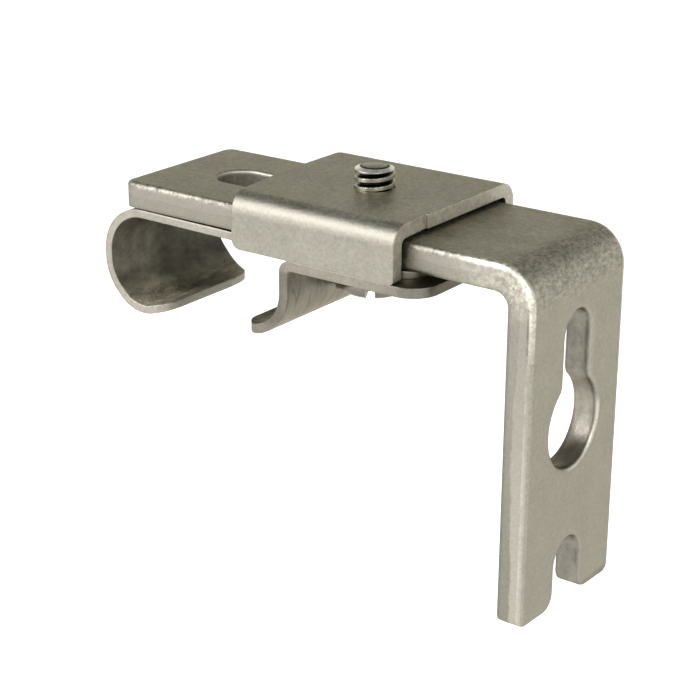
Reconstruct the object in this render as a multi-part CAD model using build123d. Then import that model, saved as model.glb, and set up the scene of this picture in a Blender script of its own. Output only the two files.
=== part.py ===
from build123d import *

import os

# Wall bracket with a sliding screw clamp that grips the two lips of a rail.
# Millimetres. +Z is up, the wall is the plane X = 0 and the arm reaches out along -X.
# The origin is where the shank of the wall screw rests, at the top of the keyhole, on the wall plane.

# Flat bar bent to an L
bar_width = 20.6
bar_thick = 3.2
arm_reach = 59.5
leg_height = 43.85
bend_outer = 4.6
bend_inner = 1.8
arm_corner = 1.5
leg_corner = 1.3
rolled_edge = 0.5
foot_slant = 1.9
foot_break_rise = 0.5
foot_break_run = 1.4

# Keyhole in the leg, its narrow end at the origin
seat_below_top = 10.1
keyhole_slot_r = 2.85
keyhole_head_r = 5.5
keyhole_spacing = 10.9
keyhole_neck_r = 1.8

# Open notch at the foot of the leg, for the second wall screw
notch_r = 2.95
notch_below_seat = 28.5
notch_mouth_r = 2.1

# Long slot in the arm, for the clamp screw
slot_r = 3.0
slot_length = 31.4
slot_from_end = 7.6

# Clamp screw, its place along the arm, and the split washer under its head
screw_from_end = 31.1
screw_r = 2.41
thread_play = 0.05
screw_hole_play = 0.4
tip_height = 2.75
tip_chamfer = 0.75
head_r = 4.6
head_height = 3.8
head_dome = 1.8
head_play = 0.1
drive_width = 1.2
drive_depth = 1.4
drive_angle = 119.0
washer_r = 4.25
washer_bore_play = 0.25
washer_thick = 1.3
washer_gap = 0.7
washer_gap_lean = 18.0

# Channel that rides over the arm, its plan measured from the screw
saddle_sheet = 1.7
saddle_bend_in = 0.8
saddle_side_play = 0.65
saddle_top_play = 0.48
plate_left = 13.1
plate_right = 11.55
flange_left = 11.7
near_end_slant = 0.5
wall_step = 0.3
wall_step_y = 5.8
front_taper = 2.6
front_corner = 1.2
rear_corner = 0.5

# Spring strip with the front hook, as wide as the bar
hook_sheet = 1.0
hook_play = 0.3
hook_right = 12.8
hook_end_corner = 2.8
hook_ease_r = 40.0
hook_touch_play = 0.1
hook_overhang = 3.45
hook_shoulder_r = 5.75
hook_back_height = 9.05
hook_back_r = 6.0
hook_back_lean = 4.21
hook_drop = 13.75
hook_toe_r = 4.75
hook_lip_reach = 5.25
hook_lip_rise = 1.42
hook_lip_far_corner = 7.9
hook_lip_near_corner = 2.2

# Rear latch plate with its tongue and flared foot
latch_sheet = 1.2
latch_right = 15.35
latch_end_corner = 3.4
tongue_left = 4.6
tongue_bend_in = 0.35
foot_drop = 10.1
foot_r = 4.7
foot_left = 10.2
foot_corner = 2.5

# Levels and places that follow from the sizes above
arm_top = seat_below_top
arm_under = arm_top - bar_thick
leg_foot = arm_top - leg_height
arm_end = -arm_reach
screw_x = arm_end + screw_from_end
saddle_under = arm_top + saddle_top_play
saddle_top = saddle_under + saddle_sheet
strip_top = arm_under - hook_play
strip_under = strip_top - hook_sheet
latch_top = strip_under
latch_under = latch_top - latch_sheet
head_top = latch_under - washer_thick
head_under = head_top - head_height
tip_top = saddle_top + tip_height
saddle_half = bar_width / 2 + saddle_side_play + saddle_sheet
hole_r = screw_r + screw_hole_play


def bent_sheet(points, radii, thick, width):
    """A flat strip bent along a line in the XZ plane, which is the middle of its thickness."""
    middle = (Plane.XZ * FilletPolyline(*points, radius=radii)).wire()
    one_face = middle.offset_2d(thick / 2, side=Side.LEFT, closed=False)
    other_face = middle.offset_2d(thick / 2, side=Side.RIGHT, closed=False)
    ends = [Line(one_face @ 1, other_face @ 0), Line(other_face @ 1, one_face @ 0)]
    section = make_face(one_face.edges() + other_face.edges() + ends)
    return extrude(section, width / 2, both=True)


def corner_waste(x, y, to_x, to_y, radius, low, high):
    """What a round plan corner at x, y loses. It points the ways that to_x and to_y say, each 1 or -1."""
    centre = Pos(x - to_x * radius, y - to_y * radius)
    block = centre * Pos(to_x * radius, to_y * radius) * Rectangle(2 * radius, 2 * radius)
    waste = block - centre * Circle(radius)
    return Pos(0, 0, low) * extrude(waste, high - low)


def screw_hole(radius):
    """A round hole along the clamp screw, through every level of the clamp."""
    return Pos(screw_x, 0, head_under) * extrude(Circle(radius), tip_top - head_under)


def foot_edges(bar):
    """The edges round the end of the leg that do not stand upright."""
    lying = bar.edges().filter_by(Axis.Z, reverse=True)
    return lying.filter_by_position(Axis.Z, leg_foot - bar_thick, leg_foot + notch_mouth_r)


def make_wall_bracket():
    section = Plane.XZ * Polygon(
        (arm_end, arm_top),
        (0, arm_top),
        (0, leg_foot - bar_thick),
        (-bar_thick, leg_foot - bar_thick),
        (-bar_thick, arm_under),
        (arm_end, arm_under),
        align=None,
    )
    section = fillet(section.vertices().sort_by_distance((0, 0, arm_top))[0], bend_outer)
    section = fillet(section.vertices().sort_by_distance((-bar_thick, 0, arm_under))[0], bend_inner)
    bar = extrude(section, bar_width / 2, both=True)
    bar = fillet(bar.edges().filter_by(Axis.Z).group_by(Axis.X)[0], arm_corner)

    # The leg's end was sheared a little out of square.
    foot_line = Pos(0, 0, leg_foot) * Rot(-foot_slant, 0, 0)
    bar -= foot_line * Pos(0, 0, -bar_width) * Box(bar_width, 2 * bar_width, 2 * bar_width)
    sides = foot_edges(bar).group_by(Axis.Y)
    bar = fillet(sides[0] + sides[-1], leg_corner)

    slot_centre = arm_end + slot_from_end + slot_length / 2
    slot = Pos(slot_centre, 0, arm_under) * SlotOverall(slot_length, 2 * slot_r)
    bar -= extrude(slot, bar_thick)

    keyhole = Circle(keyhole_slot_r) + Pos(0, -keyhole_spacing) * Circle(keyhole_head_r)
    keyhole += Pos(0, -keyhole_spacing / 2) * Rectangle(2 * keyhole_slot_r, keyhole_spacing)
    neck_y = -keyhole_spacing + (keyhole_head_r**2 - keyhole_slot_r**2) ** 0.5
    necks = [keyhole.vertices().sort_by_distance((side * keyhole_slot_r, neck_y))[0] for side in (-1, 1)]
    keyhole = fillet(necks, keyhole_neck_r)
    bar -= extrude(Plane.YZ * keyhole, -bar_thick)

    notch_run = leg_height + bar_thick - seat_below_top - notch_below_seat
    notch = Pos(0, -notch_below_seat) * Circle(notch_r)
    notch += Pos(0, -notch_below_seat - notch_run / 2) * Rectangle(2 * notch_r, notch_run)
    bar -= extrude(Plane.YZ * notch, -bar_thick)
    mouth = foot_edges(bar).filter_by_position(Axis.Y, -2 * notch_r, 2 * notch_r)
    mouth = mouth.filter_by(Axis.X)
    bar = fillet(mouth, notch_mouth_r)

    # The shear broke the end away towards the inner face.
    break_x = foot_break_run - bar_thick
    wedge = Polygon(
        (break_x, 0),
        (break_x - 2 * foot_break_run, 2 * foot_break_rise),
        (break_x - 2 * foot_break_run, -bar_width),
        (break_x, -bar_width),
        align=None,
    )
    bar -= foot_line * extrude(Plane.XZ * wedge, bar_width, both=True)

    # The punch rolls the edges of the face it enters by: the arm's top and the wall face.
    top = bar.faces().filter_by(Axis.Z).sort_by(Axis.Z)[-1]
    wall = bar.faces().filter_by(Axis.X).sort_by(Axis.X)[-1]
    bend = bar.faces().filter_by(GeomType.CYLINDER).sort_by_distance((0, 0, arm_top))[0]
    entry = top.edges() + wall.edges() + bend.edges()
    fold_lines = entry.filter_by(Axis.Y).filter_by(lambda edge: edge.center().X > arm_end + arm_corner)
    fold_lines = fold_lines.filter_by(lambda edge: edge.center().Z > leg_foot + leg_corner)
    return fillet(entry - fold_lines, rolled_edge)


def make_clamp_saddle():
    height = saddle_top - latch_top
    inner_half = saddle_half - saddle_sheet
    outer = Pos(0, latch_top + height / 2) * Rectangle(2 * saddle_half, height)
    outer = fillet(outer.vertices().group_by(Axis.Y)[-1], saddle_bend_in + saddle_sheet)
    inner_height = saddle_under - latch_top
    inner = Pos(0, latch_top + inner_height / 2) * Rectangle(2 * inner_half, inner_height)
    inner = fillet(inner.vertices().group_by(Axis.Y)[-1], saddle_bend_in)
    length = plate_left + plate_right
    channel = extrude(Plane.YZ * (outer - inner), length)
    channel = Pos(screw_x - plate_left, 0, 0) * channel

    plan = Polygon(
        (-flange_left, -saddle_half),
        (plate_right - wall_step + near_end_slant, -saddle_half),
        (plate_right - wall_step, -wall_step_y),
        (plate_right, -wall_step_y),
        (plate_right, saddle_half),
        (-flange_left, saddle_half),
        (-plate_left, saddle_half - front_taper),
        (-plate_left, 0),
        align=None,
    )
    channel &= Pos(screw_x, 0, latch_top) * extrude(plan, height)
    low_edges = channel.edges().group_by(Axis.Z)[0].filter_by(Axis.X, reverse=True)
    channel = fillet(low_edges.filter_by(lambda edge: edge.center().X < screw_x), front_corner)
    low_edges = channel.edges().group_by(Axis.Z)[0].filter_by(Axis.X, reverse=True)
    channel = fillet(low_edges.filter_by(lambda edge: edge.center().X > screw_x), rear_corner)
    return channel - screw_hole(screw_r + thread_play)


def make_front_hook():
    level = strip_top - hook_sheet / 2
    touch = arm_under - hook_touch_play - hook_sheet / 2
    back_x = arm_end - hook_overhang + hook_sheet / 2
    toe_x = back_x + hook_back_lean
    toe_z = arm_under - hook_drop
    lip_x = toe_x + hook_lip_reach
    points = [
        (screw_x + hook_right, level),
        (screw_x - plate_left, level),
        (back_x, touch),
        (back_x, touch - hook_back_height),
        (toe_x, toe_z),
        (lip_x, toe_z + hook_lip_rise),
    ]
    radii = [hook_ease_r, hook_shoulder_r, hook_back_r, hook_toe_r]
    strip = bent_sheet(points, radii, hook_sheet, bar_width)
    strip = fillet(strip.edges().filter_by(Axis.Z).group_by(Axis.X)[-1], hook_end_corner)
    half = bar_width / 2
    low = toe_z - hook_sheet
    high = arm_under - hook_drop / 2
    strip -= corner_waste(lip_x, half, 1, 1, hook_lip_far_corner, low, high)
    strip -= corner_waste(lip_x, -half, 1, -1, hook_lip_near_corner, low, high)
    return strip - screw_hole(hole_r)


def make_rear_latch():
    level = latch_top - latch_sheet / 2
    right = screw_x + latch_right
    tongue_x = screw_x - tongue_left + latch_sheet / 2
    foot_end = screw_x - foot_left
    foot_z = latch_top - foot_drop + latch_sheet / 2
    points = [(right, level), (tongue_x, level), (tongue_x, foot_z), (foot_end, foot_z)]
    radii = [tongue_bend_in + latch_sheet / 2, foot_r + latch_sheet / 2]
    plate = bent_sheet(points, radii, latch_sheet, 2 * saddle_half)
    plate = fillet(plate.edges().filter_by(Axis.Z).group_by(Axis.X)[-1], latch_end_corner)
    low = foot_z - latch_sheet
    high = foot_z + latch_sheet
    plate -= corner_waste(foot_end, saddle_half, -1, 1, foot_corner, low, high)
    plate -= corner_waste(foot_end, -saddle_half, -1, -1, foot_corner, low, high)

    # The tongue has a window that the screw's head turns in.
    chord = ((head_r + head_play) ** 2 - (tongue_left - latch_sheet) ** 2) ** 0.5
    height = latch_under - head_under + head_play
    window = Pos(0, latch_under - height / 2) * Rectangle(2 * chord, height)
    window = fillet(window.vertices().group_by(Axis.Y)[0], head_dome)
    plate -= Pos(tongue_x, 0, 0) * extrude(Plane.YZ * window, latch_sheet, both=True)
    return plate - screw_hole(hole_r)


def make_lock_washer():
    ring = Circle(washer_r) - Circle(screw_r + washer_bore_play)
    ring = Pos(screw_x, 0, head_top) * extrude(ring, washer_thick)
    gap = Rot(washer_gap_lean, 0, 0) * Box(washer_r, washer_gap, 2 * washer_thick)
    return ring - Pos(screw_x + washer_r, 0, head_top + washer_thick / 2) * gap


def make_clamp_screw():
    side = Polygon(
        (0, head_under),
        (head_r, head_under),
        (head_r, head_top),
        (screw_r, head_top),
        (screw_r, tip_top),
        (0, tip_top),
        align=None,
    )
    side = fillet(side.vertices().sort_by_distance((head_r, head_under, 0))[0], head_dome)
    side = chamfer(side.vertices().sort_by_distance((screw_r, tip_top, 0))[0], tip_chamfer)
    screw = revolve(Plane.XZ * side, Axis.Z)
    drive = Rot(0, 0, drive_angle) * Box(2 * head_r, drive_width, 2 * drive_depth)
    screw -= Pos(0, 0, head_under) * drive
    return Pos(screw_x, 0, 0) * screw


pieces = {
    "wall_bracket": make_wall_bracket(),
    "clamp_saddle": make_clamp_saddle(),
    "front_hook": make_front_hook(),
    "rear_latch": make_rear_latch(),
    "lock_washer": make_lock_washer(),
    "clamp_screw": make_clamp_screw(),
}

os.makedirs("parts", exist_ok=True)
for name, piece in pieces.items():
    export_step(piece, "parts/" + name + ".step")
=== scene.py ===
import math

import bmesh
import bpy
from mathutils import Matrix, Vector


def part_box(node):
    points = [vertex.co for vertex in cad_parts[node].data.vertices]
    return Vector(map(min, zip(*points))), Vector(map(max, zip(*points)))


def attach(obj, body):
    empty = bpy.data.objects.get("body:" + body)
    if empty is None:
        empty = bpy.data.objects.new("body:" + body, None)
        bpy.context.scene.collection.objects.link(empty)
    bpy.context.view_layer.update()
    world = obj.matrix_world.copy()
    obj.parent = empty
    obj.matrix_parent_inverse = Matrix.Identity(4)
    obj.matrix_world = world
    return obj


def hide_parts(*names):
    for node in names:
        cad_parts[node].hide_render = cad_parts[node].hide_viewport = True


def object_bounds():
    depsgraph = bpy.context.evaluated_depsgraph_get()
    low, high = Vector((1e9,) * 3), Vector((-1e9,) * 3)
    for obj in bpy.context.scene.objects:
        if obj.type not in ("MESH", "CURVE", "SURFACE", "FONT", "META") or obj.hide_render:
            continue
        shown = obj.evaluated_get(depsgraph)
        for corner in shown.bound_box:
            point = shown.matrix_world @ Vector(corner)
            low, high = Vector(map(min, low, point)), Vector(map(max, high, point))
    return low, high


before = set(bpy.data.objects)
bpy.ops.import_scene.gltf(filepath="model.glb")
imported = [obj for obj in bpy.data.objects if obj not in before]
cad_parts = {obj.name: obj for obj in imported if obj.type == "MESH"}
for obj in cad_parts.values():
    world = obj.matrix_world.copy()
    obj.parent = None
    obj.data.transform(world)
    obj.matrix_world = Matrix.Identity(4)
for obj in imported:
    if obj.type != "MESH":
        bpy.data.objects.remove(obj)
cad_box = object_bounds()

# Wall bracket with a sliding screw clamp: finishes, the threaded screw, light and camera.
# The CAD nodes keep their shapes, apart from the clamp screw, which gets its real thread here.
# Sizes named here are in millimetres, as in part.py, unless a comment says otherwise.
MM = 0.001

# Flat bar
ARM_TOP = 10.1
ARM_END = -59.5
BAR_THICK = 3.2
BAR_HALF = 10.3
BEND_OUTER = 4.6
LEG_FOOT = -33.75
FOOT_SLOPE = 0.033
HOLES_HALF = 6.2

# Cut edge of the bar: how far below the outer face its burnished zone ends, and where its dark and pale
# lines run
BURNISH_ARM = 1.75
BURNISH_LEG = 1.95
BURNISH_MID = 2.2
BURNISH_FOOT = 1.6
EDGE_LINE_DEPTH = 0.6

# Heights on the leg, from the middle of the bend
LEG_LOW = -34.0
LEG_HIGH = 0.0

# Arm's slot, and the leg's keyhole with the height of the highlight painted on its wall
SLOT_MIDDLE = -36.2
SLOT_STRAIGHT = 25.4
SLOT_R = 3.0
KEYHOLE_HIGHLIGHT_Z = -11.4
KEYHOLE_HEAD = -10.9
KEYHOLE_HEAD_R = 5.5
KEYHOLE_SLOT_R = 2.85

# Front hook: the middle of its curl, its mouth, and the heights between which the shade painted inside it
# grows paler
HOOK_MIDDLE_X = -57.0
HOOK_MIDDLE_Z = -0.5
HOOK_MOUTH = -50.0
HOOK_HIGH = -3.0
HOOK_LOW = -7.5

# Clamp screw, its angles in degrees
SCREW_X = -28.4
THREAD_R = 2.41
THREAD_ROOT_R = 1.80
THREAD_PITCH = 25.4 / 24
THREAD_PHASE = 0.47
CREST_SHARE = 0.42
FLANK_SHARE = 0.36
TIP_RUNOUT = 0.9
TIP_CHAMFER = 0.36
TIP_FLAT_R = 1.64
TIP_DROP = 0.1
HEAD_R = 4.6
HEAD_HEIGHT = 3.8
HEAD_DOME = 1.8
HEAD_STEPS = 10
DRIVE_WIDTH = 1.2
DRIVE_DEPTH = 1.4
DRIVE_ANGLE = 119.0
ROUND_STEPS = 120
THREAD_ROW = 0.045
SHARP_ANGLE = 38

# Heights read from the CAD; the threaded screw ends a little below the tip of the plain solid.
LATCH_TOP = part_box("rear_latch")[1][2] / MM
SCREW_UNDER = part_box("clamp_screw")[0][2] / MM
SCREW_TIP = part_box("clamp_screw")[1][2] / MM - TIP_DROP
SCREW_SEAT = SCREW_UNDER + HEAD_HEIGHT
CHAMFER_FOOT = SCREW_TIP - TIP_CHAMFER

# Photograph's camera, in the row frame
LENS = 94.19
SENSOR = 36.0
CAMERA_PLACE = (93.5, -171.2, 71.3)
YAW = math.radians(-36.23)
PITCH = math.radians(20.79)
ROLL = math.radians(0.26)

# Lamps: name, direction from the object's middle, then distance, width and height in metres, and watts
LAMPS = (
    ("key", (-0.51, -0.61, 0.60), 0.55, 0.40, 0.36, 2.2),
    ("wash", (-0.57, -0.80, 0.10), 0.60, 0.30, 0.16, 0.40),
    ("fill", (0.62, -0.45, 0.62), 0.60, 0.50, 0.32, 2.0),
    ("rear", (0.50, 0.75, 0.20), 0.60, 0.30, 0.12, 0.15),
)
LAMP_TARGET = (-28, 0, -8)
COOL = (0.94, 0.94, 1.0)

# Room: its grey at heights from straight down (0) over the horizon (0.5) to straight up (1)
ROOM_GREYS = (
    (0.0, 1.0), (0.5, 1.0), (0.57, 0.95), (0.63, 0.90),
    (0.68, 0.88), (0.76, 0.50), (0.83, 0.33), (1.0, 0.26),
)

# Floor, in metres, with its grey and the light that it gives off itself
FLOOR_HALF = 3.0
FLOOR_DROP = 0.12
FLOOR_GREY = 0.85
FLOOR_ROUGH = 0.9
FLOOR_GLOW = 0.72

# Metal colours, linear
NICKEL = (0.292, 0.277, 0.224)
NICKEL_WORN = (0.288, 0.27, 0.224)
NICKEL_TORN = (0.265, 0.249, 0.203)
NICKEL_HOLE = (0.195, 0.181, 0.148)
LATCH = (0.21, 0.196, 0.158)
SPRING = (0.285, 0.268, 0.217)
SPRING_INSIDE_SHADE = (0.11, 0.102, 0.078)
SPRING_EDGE = (0.34, 0.318, 0.262)
SCREW = (0.62, 0.59, 0.52)
SCREW_HEAD = (0.25, 0.234, 0.193)
SCREW_FACE = (0.34, 0.325, 0.28)
# The chamfer's painted highlight and the grooves' painted shade
SCREW_CHAMFER_HIGHLIGHT = (0.88, 0.85, 0.78)
SCREW_GROOVE_SHADE = (0.012, 0.011, 0.01)
GRAZING_TINT = (0.82, 0.78, 0.66)

# The values that nearly all of the noise lies between
NOISE_LOW = 0.3
NOISE_HIGH = 0.7

# First input and output of the mix node for each kind of value
MIX_SOCKETS = {"FLOAT": (2, 0), "VECTOR": (4, 1), "RGBA": (6, 2)}


class Shader:
    """One material, and short calls that add its nodes."""

    def __init__(self, name):
        self.material = bpy.data.materials.new(name)
        self.material.use_nodes = True
        self.tree = self.material.node_tree
        self.bsdf = self.tree.nodes["Principled BSDF"]
        coords = self.add("ShaderNodeTexCoord")
        scaled = self.add("ShaderNodeVectorMath", operation="SCALE")
        scaled.inputs["Scale"].default_value = 1 / MM
        self.link(coords.outputs["Object"], scaled.inputs[0])
        self.place = scaled.outputs[0]
        self.normal = coords.outputs["Normal"]

    def add(self, kind, **settings):
        node = self.tree.nodes.new(kind)
        for key, value in settings.items():
            setattr(node, key, value)
        return node

    def link(self, source, target):
        if isinstance(source, (int, float)):
            target.default_value = source
        elif isinstance(source, tuple):
            target.default_value = (*source, 1) if len(target.default_value) == 4 else source
        else:
            self.tree.links.new(source, target)

    def axes(self, vector):
        node = self.add("ShaderNodeSeparateXYZ")
        self.link(vector, node.inputs[0])
        return node.outputs

    def math(self, operation, *values):
        node = self.add("ShaderNodeMath", operation=operation)
        for value, target in zip(values, node.inputs):
            self.link(value, target)
        return node.outputs[0]

    def fold(self, operation, values):
        """Several values taken together two by two, from the first one on."""
        result = values[0]
        for value in values[1:]:
            result = self.math(operation, result, value)
        return result

    def total(self, *values):
        return self.fold("ADD", values)

    def product(self, *values):
        return self.fold("MULTIPLY", values)

    def less(self, value, taken):
        return self.math("SUBTRACT", value, taken)

    def size(self, value):
        return self.math("ABSOLUTE", value)

    def at_least(self, value, floor):
        return self.math("MAXIMUM", value, floor)

    def distance(self, across, up):
        """Distance from the origin, by Pythagoras."""
        squares = self.total(self.math("POWER", across, 2.0), self.math("POWER", up, 2.0))
        return self.math("SQRT", squares)

    def ease(self, value, low, high, start=0.0, end=1.0):
        """A smooth step of a value from low to high."""
        node = self.add("ShaderNodeMapRange", interpolation_type="SMOOTHSTEP")
        for source, target in zip((value, low, high, start, end), node.inputs):
            self.link(source, target)
        return node.outputs[0]

    def fall(self, value, low, high):
        """A smooth step down, from 1 at low to 0 at high."""
        return self.ease(value, low, high, 1.0, 0.0)

    def spread(self, noise, start, end):
        """Noise brought to a range of its own."""
        return self.ease(noise, NOISE_LOW, NOISE_HIGH, start, end)

    def looks_along(self, part):
        """1 where a face looks along the axis of this part of the normal, either way."""
        return self.ease(self.size(part), 0.6, 0.9)

    def noise(self, scale, detail, rough, shift=0.0, stretch=None):
        """Noise from 0 to 1, its scale in waves per millimetre, finer along an axis with a factor over 1."""
        node = self.add("ShaderNodeTexNoise", noise_dimensions="4D")
        place = self.place
        if stretch is not None:
            stretched = self.add("ShaderNodeVectorMath", operation="MULTIPLY")
            self.link(place, stretched.inputs[0])
            stretched.inputs[1].default_value = stretch
            place = stretched.outputs[0]
        self.link(place, node.inputs["Vector"])
        node.inputs["W"].default_value = shift
        node.inputs["Scale"].default_value = scale
        node.inputs["Detail"].default_value = detail
        node.inputs["Roughness"].default_value = rough
        return node.outputs["Fac"]

    def mix(self, factor, first, second, kind="RGBA"):
        start, output = MIX_SOCKETS[kind]
        node = self.add("ShaderNodeMix", data_type=kind)
        self.link(factor, node.inputs[0])
        self.link(first, node.inputs[start])
        self.link(second, node.inputs[start + 1])
        return node.outputs[output]

    def gain(self, colour, value):
        """A colour made lighter or darker by a factor."""
        node = self.add("ShaderNodeVectorMath", operation="SCALE")
        self.link(colour, node.inputs[0])
        self.link(value, node.inputs["Scale"])
        return node.outputs[0]

    def round_edges(self, radius):
        node = self.add("ShaderNodeBevel", samples=8)
        node.inputs["Radius"].default_value = radius * MM
        return node.outputs[0]

    def bump(self, height, distance, normal, strength=1.0):
        node = self.add("ShaderNodeBump")
        self.link(height, node.inputs["Height"])
        self.link(strength, node.inputs["Strength"])
        node.inputs["Distance"].default_value = distance * MM
        self.link(normal, node.inputs["Normal"])
        return node.outputs[0]

    def finish(self, colour, roughness, normal):
        self.bsdf.inputs["Metallic"].default_value = 1.0
        self.link(GRAZING_TINT, self.bsdf.inputs["Specular Tint"])
        self.link(colour, self.bsdf.inputs["Base Color"])
        self.link(roughness, self.bsdf.inputs["Roughness"])
        self.link(normal, self.bsdf.inputs["Normal"])
        return self.material


class BarShader(Shader):
    """The flat bar's material, with places measured from its bend and from its outer face."""

    def __init__(self, name):
        super().__init__(name)
        self.x, self.y, self.z = self.axes(self.place)
        self.past_x = self.total(self.x, BEND_OUTER)
        self.past_z = self.less(self.z, ARM_TOP - BEND_OUTER)
        off_bend = self.distance(self.at_least(self.past_x, 0.0), self.at_least(self.past_z, 0.0))
        self.depth = self.less(BEND_OUTER, off_bend)


def satin(shader):
    """Colour factor, roughness and relief of the satin plating, with its clouds and grain."""
    clouds = shader.noise(0.22, 2.0, 0.5)
    mottle = shader.noise(1.3, 3.0, 0.6, shift=17.0)
    grain = shader.noise(2.9, 3.0, 0.6, shift=3.0)
    dimples = shader.noise(2.2, 4.0, 0.7, shift=8.0)
    tone = shader.total(shader.spread(clouds, 0.95, 1.05), shader.spread(mottle, -0.04, 0.04),
                        shader.spread(grain, -0.11, 0.11))
    rough = shader.total(shader.spread(grain, 0.36, 0.46), shader.spread(clouds, -0.02, 0.02))
    relief = shader.total(dimples, shader.product(grain, 0.4))

    # The upper faces show their mottling more.
    lift = shader.ease(shader.axes(shader.normal)[2], 0.8, 0.98, 1.0, 2.4)
    tone = shader.total(shader.product(shader.less(tone, 1.0), lift), 1.0)
    return tone, rough, relief


def cut_edge(bar):
    """Colour, torn share and pits of the bar's cut edge, burnished near its outer face and torn below."""
    waver = bar.noise(0.3, 3.0, 0.6, shift=5.0)
    border = bar.total(bar.ease(bar.past_z, -6.0, 2.0, 0.0, BURNISH_ARM - BURNISH_LEG),
                       bar.ease(bar.past_z, -16.0, -5.0, BURNISH_MID, BURNISH_LEG),
                       bar.ease(bar.past_z, -32.0, -19.0, BURNISH_FOOT - BURNISH_MID, 0.0),
                       bar.spread(waver, -0.16, 0.16))
    below = bar.less(bar.depth, border)
    torn = bar.ease(below, -0.1, 0.14)
    seam = bar.ease(bar.size(below), 0.03, 0.12, -0.16, 0.0)
    scored = bar.noise(1.0, 3.0, 0.6, shift=20.0, stretch=(3.0, 1.0, 3.0))
    pits = bar.noise(2.8, 5.0, 0.7, shift=12.0)
    worn_tone = bar.product(bar.total(bar.spread(scored, 0.93, 1.07), seam),
                            bar.ease(bar.past_z, LEG_LOW, LEG_HIGH, 1.16, 1.0))
    torn_tone = bar.product(bar.ease(pits, 0.3, 0.72, 0.9, 1.1),
                            bar.ease(bar.past_z, LEG_LOW, LEG_HIGH - 4.0, 0.84, 1.0))
    colour = bar.mix(torn, bar.gain(NICKEL_WORN, worn_tone), bar.gain(NICKEL_TORN, torn_tone))

    # A dark line lies beside the outer face just below the bend, and a thin pale one runs on down the leg.
    line = bar.fall(bar.size(bar.less(bar.depth, EDGE_LINE_DEPTH)), 0.06, 0.2)
    broken = bar.ease(bar.noise(0.5, 3.0, 0.6, shift=61.0), 0.36, 0.52)
    dark = bar.product(bar.ease(bar.past_z, -9.0, -4.0), bar.ease(bar.past_z, -1.0, 1.0, 0.5, 0.0))
    pale = bar.ease(bar.past_z, -9.0, -6.0, 0.18, 0.0)
    edge_lines = bar.product(line, broken, bar.less(pale, dark))
    colour = bar.gain(colour, bar.total(1.0, edge_lines))

    # Round the bend the cut edge is bright and speckled: painted highlight specks.
    at_bend = bar.product(bar.ease(bar.past_x, -8.0, 0.5), bar.ease(bar.past_z, -3.0, 2.0))
    highlight_specks = bar.ease(bar.noise(1.1, 4.0, 0.7, shift=75.0), 0.35, 0.65, 0.15, 0.8)
    return bar.gain(colour, bar.total(1.0, bar.product(at_bend, highlight_specks))), torn, pits


def hole_walls(bar, in_slot):
    """Colour of the walls that the punch left, even and darker, with a painted highlight low in the keyhole.
    """
    blotches = bar.noise(1.4, 4.0, 0.6, shift=66.0)
    colour = bar.gain(NICKEL_HOLE, bar.spread(blotches, 0.85, 1.15))
    colour = bar.gain(colour, bar.ease(in_slot, 0.0, 1.0, 1.0, 1.45))
    # Painted highlight, half as bright again, low on the keyhole's wall.
    from_highlight = bar.size(bar.less(bar.z, KEYHOLE_HIGHLIGHT_Z))
    return bar.gain(colour, bar.ease(from_highlight, 0.5, 3.5, 1.5, 1.0))


def rolled_edge_highlight(bar):
    """Gain on the rolled edges along the outer face: a painted highlight, bright in places, and less so down
    the leg.
    """
    from_side = bar.less(BAR_HALF, bar.size(bar.y))
    rolled = bar.fall(bar.total(from_side, bar.depth), 0.4, 0.8)
    highlight_breakup = bar.ease(bar.noise(1.5, 3.0, 0.7, shift=83.0), 0.35, 0.65, -0.35, 0.45)
    along = bar.total(highlight_breakup, bar.ease(bar.past_x, -7.0, -2.0, -0.1, 0.9))
    return bar.product(rolled, bar.ease(bar.past_z, -8.0, -2.0, 0.15, 1.0), along)


def keyhole_rim_highlights(bar):
    """Gain round the keyhole, where the face was drawn in: painted highlights, a pale band above and a
    bright crescent below.
    """
    above_head = bar.less(bar.z, KEYHOLE_HEAD)
    off_head = bar.less(bar.distance(bar.y, above_head), KEYHOLE_HEAD_R)
    lower_right = bar.ease(bar.less(bar.y, above_head), 3.5, 6.5)
    crescent_highlight = bar.product(bar.fall(off_head, 0.2, 0.5), lower_right, bar.ease(off_head, 0.02, 0.08), 1.1)
    past_slot = bar.less(bar.y, KEYHOLE_SLOT_R)
    sheen_band = bar.product(bar.ease(past_slot, 0.2, 1.4, 0.12, 0.0), bar.ease(past_slot, 0.02, 0.1),
                       bar.ease(bar.z, KEYHOLE_HEAD + 4.0, KEYHOLE_HEAD + 6.0), bar.fall(bar.z, 0.0, 2.5))
    return bar.product(bar.total(crescent_highlight, sheen_band), bar.fall(bar.past_z, -1.5, 0.0))


def slot_rim_highlight(bar):
    """Gain on the far rim of the arm's slot: a painted highlight, a thin bright line."""
    past_end = bar.at_least(bar.less(bar.size(bar.less(bar.x, SLOT_MIDDLE)), SLOT_STRAIGHT / 2), 0.0)
    off_slot = bar.less(bar.distance(bar.y, past_end), SLOT_R)
    return bar.product(bar.ease(off_slot, 0.02, 0.08), bar.ease(off_slot, 0.15, 0.35, 0.9, 0.0),
                       bar.ease(bar.y, -1.5, 1.0), bar.ease(bar.past_z, 4.0, 4.3))


def foot_rim_shade(bar):
    """Gain on the leg's end: painted shade, darkening it towards its rounded rim."""
    from_foot = bar.less(bar.z, bar.math("MULTIPLY_ADD", bar.y, FOOT_SLOPE, LEG_FOOT))
    return bar.ease(from_foot, 0.05, 1.0, -0.3, 0.0)


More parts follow.
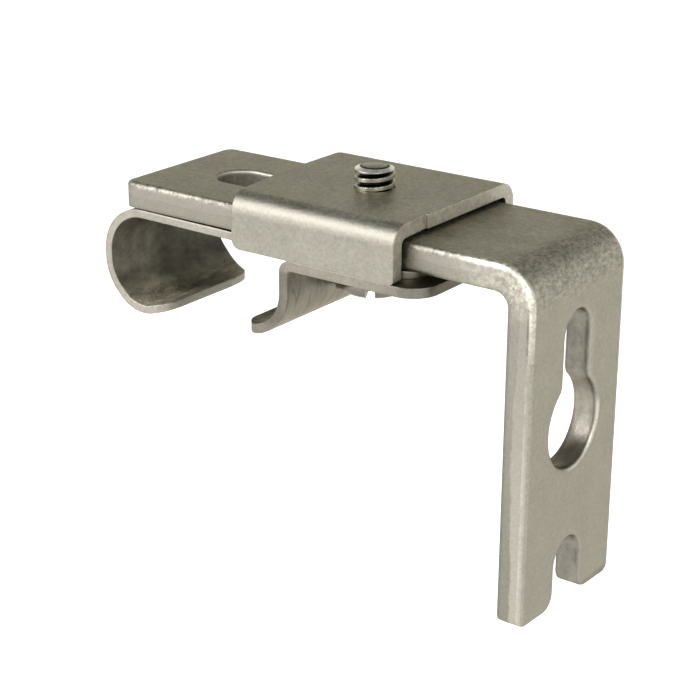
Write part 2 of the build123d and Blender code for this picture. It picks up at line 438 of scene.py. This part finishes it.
def bar_metal():
    """Plated flat bar: satin faces, sheared and punched edges, and the coarse skin of the bend."""
    bar = BarShader("plated_bar")
    tone, rough, relief = satin(bar)
    on_edge = bar.product(bar.ease(bar.depth, 0.1, 0.3),
                          bar.fall(bar.depth, BAR_THICK - 0.12, BAR_THICK - 0.02))
    inside = bar.product(bar.fall(bar.size(bar.y), HOLES_HALF, HOLES_HALF + 0.2),
                         bar.ease(bar.x, ARM_END + 1.0, ARM_END + 1.2))
    in_slot = bar.product(inside, bar.ease(bar.past_z, -1.5, 0.5))
    edge, torn, pits = cut_edge(bar)
    edge = bar.mix(inside, edge, hole_walls(bar, in_slot))
    face_tone = bar.product(tone, bar.ease(bar.past_z, LEG_LOW, LEG_HIGH, 0.92, 0.99))
    colour = bar.mix(on_edge, bar.gain(NICKEL, face_tone), edge)

    # The bend's outer face is coarser, where the bar was stretched, and the arm's top is faintly streaked.
    # The sum also holds the painted highlights on the rolled edges, round the keyhole and on the slot's rim,
    # and the painted shade at the leg's end.
    bend = bar.product(bar.ease(bar.past_x, -1.0, 2.2), bar.ease(bar.past_z, -2.0, 1.4))
    peel = bar.noise(2.3, 4.0, 0.75, shift=31.0, stretch=(1.0, 0.55, 1.0))
    streaks = bar.noise(1.0, 3.0, 0.6, shift=70.0, stretch=(0.22, 2.2, 0.3))
    texture_and_painted_light = bar.total(bar.product(bar.ease(peel, 0.36, 0.64, -0.28, 0.3), bend),
                        bar.product(bar.spread(streaks, -0.07, 0.07), bar.ease(bar.past_z, 4.4, 4.55)),
                        rolled_edge_highlight(bar), keyhole_rim_highlights(bar), slot_rim_highlight(bar), foot_rim_shade(bar))
    colour = bar.gain(colour, bar.total(1.0, texture_and_painted_light))

    edge_rough = bar.total(bar.ease(torn, 0.0, 1.0, 0.36, 0.46), bar.product(in_slot, 0.25))
    dull = bar.mix(on_edge, rough, edge_rough, "FLOAT")

    # Edges look rounded, and those of the arm's slot less so than the outer ones.
    at_slot = bar.product(bar.ease(bar.past_z, 0.5, 1.5),
                          bar.fall(bar.size(bar.y), HOLES_HALF + 1.0, HOLES_HALF + 1.5))
    rounded = bar.mix(at_slot, bar.round_edges(0.9), bar.round_edges(0.3), "VECTOR")
    fine = bar.bump(relief, 0.034, rounded)
    pitted = bar.bump(pits, 0.06, fine, bar.product(on_edge, torn, 0.8))
    peeled = bar.bump(peel, 0.12, pitted, bar.product(bend, 0.7))
    return bar.finish(colour, dull, peeled)


def channel_metal():
    """Plated channel, its sawn ends paler and duller."""
    shader = Shader("plated_sheet")
    tone, rough, relief = satin(shader)
    cut_end = shader.looks_along(shader.axes(shader.normal)[0])
    pits = shader.noise(1.6, 4.0, 0.65, shift=14.0)
    sawn = shader.product(shader.spread(pits, 0.35, 0.75), cut_end)
    colour = shader.gain(NICKEL, shader.product(tone, shader.total(1.0, sawn)))
    dull = shader.total(rough, shader.product(cut_end, 0.2))
    fine = shader.bump(relief, 0.036, shader.round_edges(0.22))
    return shader.finish(colour, dull, fine)


def latch_metal():
    """Plated latch plate: faint upright wrinkles in its tongue with painted light and shade across them,
    paler cut sides, and painted shade on its upper faces.
    """
    shader = Shader("plated_latch")
    tone, rough, relief = satin(shader)
    x, _, z = shader.axes(shader.place)
    _, faces_y, faces_z = shader.axes(shader.normal)
    drawn = shader.fall(z, LATCH_TOP - 2.2, LATCH_TOP - 0.8)
    wrinkles = shader.noise(1.0, 2.0, 0.45, shift=50.0, stretch=(0.1, 0.36, 0.07))
    off_crease = shader.size(shader.less(wrinkles, 0.5))
    crease_light_and_shade = shader.total(shader.ease(wrinkles, 0.35, 0.65, -0.1, 0.1),
                           shader.ease(off_crease, 0.004, 0.03, -0.22, 0.0))
    cut_side = shader.product(shader.looks_along(faces_y), shader.ease(z, LATCH_TOP - 1.6, LATCH_TOP - 1.2))
    sheared = shader.ease(x, SCREW_X + 6.0, SCREW_X + 15.0, 0.22, -0.1)
    # Painted light and shade across the wrinkles, and painted shade on the upper faces.
    shade = shader.total(shader.product(crease_light_and_shade, drawn), shader.product(cut_side, sheared),
                         shader.ease(faces_z, 0.5, 0.9, 0.0, -0.35), shader.product(drawn, -0.08))
    colour = shader.gain(LATCH, shader.product(tone, shader.total(1.0, shade)))
    fine = shader.bump(relief, 0.03, shader.round_edges(0.2))
    creased = shader.bump(wrinkles, 0.7, fine, shader.product(drawn, 0.8))
    return shader.finish(colour, rough, creased)


def spring_metal():
    """Spring strip with bright cut edges; inside its hook a dark painted shade with smears, paler low down
    and towards its near side.
    """
    shader = Shader("plated_spring")
    tone, rough, relief = satin(shader)
    x, y, z = shader.axes(shader.place)
    faces_x, faces_y, faces_z = shader.axes(shader.normal)
    outward = shader.total(shader.product(faces_x, shader.less(x, HOOK_MIDDLE_X)),
                           shader.product(faces_z, shader.less(z, HOOK_MIDDLE_Z)))
    inside = shader.product(shader.fall(outward, -1.0, 1.0), shader.fall(x, HOOK_MOUTH, HOOK_MOUTH + 6.0))
    strip_end = shader.product(shader.size(faces_x), shader.ease(x, SCREW_X, SCREW_X + 1.0))
    edge = shader.ease(shader.total(shader.size(faces_y), strip_end), 0.5, 0.8)
    # Inside the hook: painted shade with smears, paler low down and towards the near side.
    smear = shader.noise(0.55, 4.0, 0.65, shift=40.0, stretch=(1.6, 0.7, 0.7))
    smears_and_shade = shader.product(shader.spread(smear, 0.68, 1.32), shader.ease(y, -5.0, 0.0, 1.6, 0.74),
                             shader.ease(z, HOOK_LOW, HOOK_HIGH, 4.7, 1.0))
    face = shader.mix(inside, SPRING, shader.gain(SPRING_INSIDE_SHADE, smears_and_shade))
    colour = shader.mix(edge, shader.gain(face, tone), shader.gain(SPRING_EDGE, tone))
    dull = shader.total(rough, shader.ease(edge, 0.0, 1.0, 0.14, 0.0))
    fine = shader.bump(relief, 0.03, shader.round_edges(0.34))
    return shader.finish(colour, dull, fine)


def screw_metal():
    """Plated screw: crests, a painted highlight on the chamfer, painted shade in the grooves and round the
    tip face's rim, and a duller head and tip face, the head with painted shade towards its underside.
    """
    shader = Shader("plated_screw")
    tone, _, relief = satin(shader)
    x, y, z = shader.axes(shader.place)
    radius = shader.distance(shader.less(x, SCREW_X), y)
    upward = shader.ease(shader.axes(shader.normal)[2], 0.9, 0.98)
    head = shader.fall(z, SCREW_SEAT - 0.05, SCREW_SEAT + 0.05)
    # Painted shade in the thread's grooves.
    groove_shade = shader.product(shader.fall(radius, THREAD_ROOT_R + 0.25, THREAD_R - 0.06),
                            shader.fall(z, CHAMFER_FOOT - 0.1, CHAMFER_FOOT + 0.1))
    chamfer = shader.product(shader.ease(z, CHAMFER_FOOT - 0.05, CHAMFER_FOOT + 0.05),
                             shader.less(1.0, upward))
    off_rim = shader.size(shader.less(radius, TIP_FLAT_R + 0.03))
    rim = shader.product(shader.fall(off_rim, 0.08, 0.2), shader.less(1.0, head))
    plain = shader.mix(head, shader.mix(upward, SCREW, SCREW_FACE), SCREW_HEAD)
    # Painted shade, darker towards the head's underside.
    plain = shader.gain(plain, shader.ease(z, SCREW_UNDER, SCREW_UNDER + 2.0, 0.45, 0.75))
    # Painted highlight on the tip's chamfer, and a painted dark line round the tip face's rim.
    plain = shader.mix(chamfer, plain, SCREW_CHAMFER_HIGHLIGHT)
    plain = shader.mix(rim, plain, SCREW_GROOVE_SHADE)
    colour = shader.mix(groove_shade, shader.gain(plain, tone), SCREW_GROOVE_SHADE)
    fine = shader.bump(relief, 0.01, shader.round_edges(0.08))
    return shader.finish(colour, 0.3, fine)


def thread_radius(angle, z):
    """Radius of the threaded shank at an angle and a height, with its chamfered tip."""
    turn = (z / THREAD_PITCH - angle / math.tau + THREAD_PHASE) % 1.0
    off_crest = abs(turn - 0.5) * 2
    flank = (off_crest - CREST_SHARE) / FLANK_SHARE
    radius = THREAD_R - min(max(flank, 0.0), 1.0) * (THREAD_R - THREAD_ROOT_R)
    below_tip = SCREW_TIP - z
    radius = THREAD_R - (THREAD_R - radius) * min(below_tip / TIP_RUNOUT, 1.0) ** 2
    if below_tip < TIP_CHAMFER:
        radius = min(radius, TIP_FLAT_R + (THREAD_R - TIP_FLAT_R) * below_tip / TIP_CHAMFER)
    return radius


def ring(mesh, radius_at, z):
    """A ring of vertices round the screw's axis, at height z."""
    points = []
    for step in range(ROUND_STEPS):
        angle = math.tau * step / ROUND_STEPS
        radius = radius_at(angle)
        place = Vector((SCREW_X + radius * math.cos(angle), radius * math.sin(angle), z))
        points.append(mesh.verts.new(place * MM))
    return points


def bridge(mesh, low, high):
    for step in range(ROUND_STEPS):
        after = (step + 1) % ROUND_STEPS
        mesh.faces.new((low[step], low[after], high[after], high[step]))


def threaded_screw():
    """The clamp screw with its real thread: head, shank and chamfered tip as one closed mesh."""
    mesh = bmesh.new()
    rings = []
    for step in range(HEAD_STEPS + 1):
        lean = math.pi / 2 * step / HEAD_STEPS
        radius = HEAD_R - HEAD_DOME + HEAD_DOME * math.sin(lean)
        height = SCREW_UNDER + HEAD_DOME * (1 - math.cos(lean))
        rings.append(ring(mesh, lambda angle, radius=radius: radius, height))
    rings.append(ring(mesh, lambda angle: HEAD_R, SCREW_SEAT))
    rows = round((SCREW_TIP - SCREW_SEAT) / THREAD_ROW)
    for row in range(rows + 1):
        z = SCREW_SEAT + (SCREW_TIP - SCREW_SEAT) * row / rows
        rings.append(ring(mesh, lambda angle, z=z: thread_radius(angle, z), z))
    for low_ring, high_ring in zip(rings, rings[1:]):
        bridge(mesh, low_ring, high_ring)
    mesh.faces.new(reversed(rings[0]))
    mesh.faces.new(rings[-1])
    data = bpy.data.meshes.new("clamp_screw_threaded")
    mesh.to_mesh(data)
    mesh.free()
    return data


def cut_drive(screw):
    """Cuts the slot for the screwdriver across the head's underside."""
    mesh = bmesh.new()
    bmesh.ops.create_cube(mesh, size=1.0)
    size = Vector((3 * HEAD_R, DRIVE_WIDTH, 2 * DRIVE_DEPTH)) * MM
    turn = Matrix.Rotation(math.radians(DRIVE_ANGLE), 4, "Z")
    bmesh.ops.transform(mesh, matrix=turn @ Matrix.Diagonal((*size, 1)), verts=mesh.verts)
    data = bpy.data.meshes.new("drive_cutter")
    mesh.to_mesh(data)
    mesh.free()
    cutter = bpy.data.objects.new("drive_cutter", data)
    bpy.context.collection.objects.link(cutter)
    cutter.location = Vector((SCREW_X, 0, SCREW_UNDER)) * MM
    cut = screw.modifiers.new("drive", "BOOLEAN")
    cut.operation = "DIFFERENCE"
    cut.solver = "EXACT"
    cut.object = cutter
    graph = bpy.context.evaluated_depsgraph_get()
    finished = bpy.data.meshes.new_from_object(screw.evaluated_get(graph))
    screw.modifiers.clear()
    screw.data = finished
    finished.name = "clamp_screw_threaded"
    bpy.data.objects.remove(cutter)
    for face in finished.polygons:
        face.use_smooth = True
    finished.set_sharp_from_angle(angle=math.radians(SHARP_ANGLE))


def area_lamp(name, direction, distance, width, height, power):
    """A soft box that looks at the object's middle."""
    light = bpy.data.lights.new(name, "AREA")
    light.shape = "RECTANGLE"
    light.color = COOL
    light.size = width
    light.size_y = height
    light.energy = power
    lamp = bpy.data.objects.new(name, light)
    bpy.context.collection.objects.link(lamp)
    lamp.location = Vector(LAMP_TARGET) * MM + Vector(direction).normalized() * distance
    lamp.rotation_euler = Vector(direction).to_track_quat("Z", "Y").to_euler()


def studio_world():
    """A white sweep below the horizon and a grey room above it."""
    world = bpy.data.worlds.new("studio")
    bpy.context.scene.world = world
    world.use_nodes = True
    tree = world.node_tree
    coords = tree.nodes.new("ShaderNodeTexCoord")
    axes = tree.nodes.new("ShaderNodeSeparateXYZ")
    ramp = tree.nodes.new("ShaderNodeValToRGB")
    spread = tree.nodes.new("ShaderNodeMapRange")
    tree.links.new(coords.outputs["Generated"], axes.inputs[0])
    tree.links.new(axes.outputs[2], spread.inputs[0])
    spread.inputs[1].default_value = -1.0
    tree.links.new(spread.outputs[0], ramp.inputs[0])
    tree.links.new(ramp.outputs[0], tree.nodes["Background"].inputs[0])
    while len(ramp.color_ramp.elements) < len(ROOM_GREYS):
        ramp.color_ramp.elements.new(0.5)
    for element, (place, grey) in zip(ramp.color_ramp.elements, ROOM_GREYS):
        element.position = place
        element.color = (grey, grey, grey, 1)


def floor_paper():
    """Pale paper that gives off some light of its own where a camera, a mirror or a glass sees it."""
    paper = bpy.data.materials.new("floor_paper")
    paper.use_nodes = True
    tree = paper.node_tree
    bsdf = tree.nodes["Principled BSDF"]
    bsdf.inputs["Base Color"].default_value = (FLOOR_GREY, FLOOR_GREY, FLOOR_GREY, 1)
    bsdf.inputs["Roughness"].default_value = FLOOR_ROUGH
    path = tree.nodes.new("ShaderNodeLightPath")
    seen = path.outputs["Is Camera Ray"]
    for ray in ("Is Glossy Ray", "Is Transmission Ray"):
        either = tree.nodes.new("ShaderNodeMath")
        either.operation = "MAXIMUM"
        tree.links.new(seen, either.inputs[0])
        tree.links.new(path.outputs[ray], either.inputs[1])
        seen = either.outputs[0]
    glow = tree.nodes.new("ShaderNodeMath")
    glow.operation = "MULTIPLY"
    glow.inputs[1].default_value = FLOOR_GLOW
    tree.links.new(seen, glow.inputs[0])
    bsdf.inputs["Emission Color"].default_value = (1, 1, 1, 1)
    tree.links.new(glow.outputs[0], bsdf.inputs["Emission Strength"])
    return paper


def pale_floor():
    """A plain pale floor well below the bracket, which hangs on a wall."""
    size = FLOOR_HALF
    data = bpy.data.meshes.new("floor")
    corners = [(-size, -size, 0), (size, -size, 0), (size, size, 0), (-size, size, 0)]
    data.from_pydata(corners, [], [(0, 1, 2, 3)])
    floor = bpy.data.objects.new("floor", data)
    bpy.context.collection.objects.link(floor)
    floor.location = (0, 0, cad_box[0][2] - FLOOR_DROP)
    data.materials.append(floor_paper())


def photo_camera():
    """The camera where the photograph was taken from."""
    data = bpy.data.cameras.new("photo_camera")
    data.lens = LENS
    data.sensor_width = SENSOR
    data.clip_start = 0.01
    camera = bpy.data.objects.new("photo_camera", data)
    bpy.context.collection.objects.link(camera)
    ahead = Vector((math.sin(YAW) * math.cos(PITCH), math.cos(YAW) * math.cos(PITCH), -math.sin(PITCH)))
    level = ahead.cross(Vector((0, 0, 1))).normalized()
    upright = level.cross(ahead)
    right = level * math.cos(ROLL) + upright * math.sin(ROLL)
    up = upright * math.cos(ROLL) - level * math.sin(ROLL)
    turn = Matrix((right, up, -ahead)).transposed().to_4x4()
    camera.matrix_world = Matrix.Translation(Vector(CAMERA_PLACE) * MM) @ turn
    bpy.context.scene.camera = camera


def dress(node, material):
    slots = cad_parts[node].data.materials
    slots.clear()
    slots.append(material)


bpy.context.scene.view_settings.view_transform = "Standard"

screw_finish = screw_metal()
dress("wall_bracket", bar_metal())
dress("clamp_saddle", channel_metal())
dress("rear_latch", latch_metal())
dress("front_hook", spring_metal())
dress("lock_washer", screw_finish)

screw = bpy.data.objects.new("clamp_screw_threaded", threaded_screw())
bpy.context.collection.objects.link(screw)
cut_drive(screw)
screw.data.materials.append(screw_finish)
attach(screw, "screw")
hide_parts("clamp_screw")

studio_world()
pale_floor()
for lamp in LAMPS:
    area_lamp(*lamp)
photo_camera()
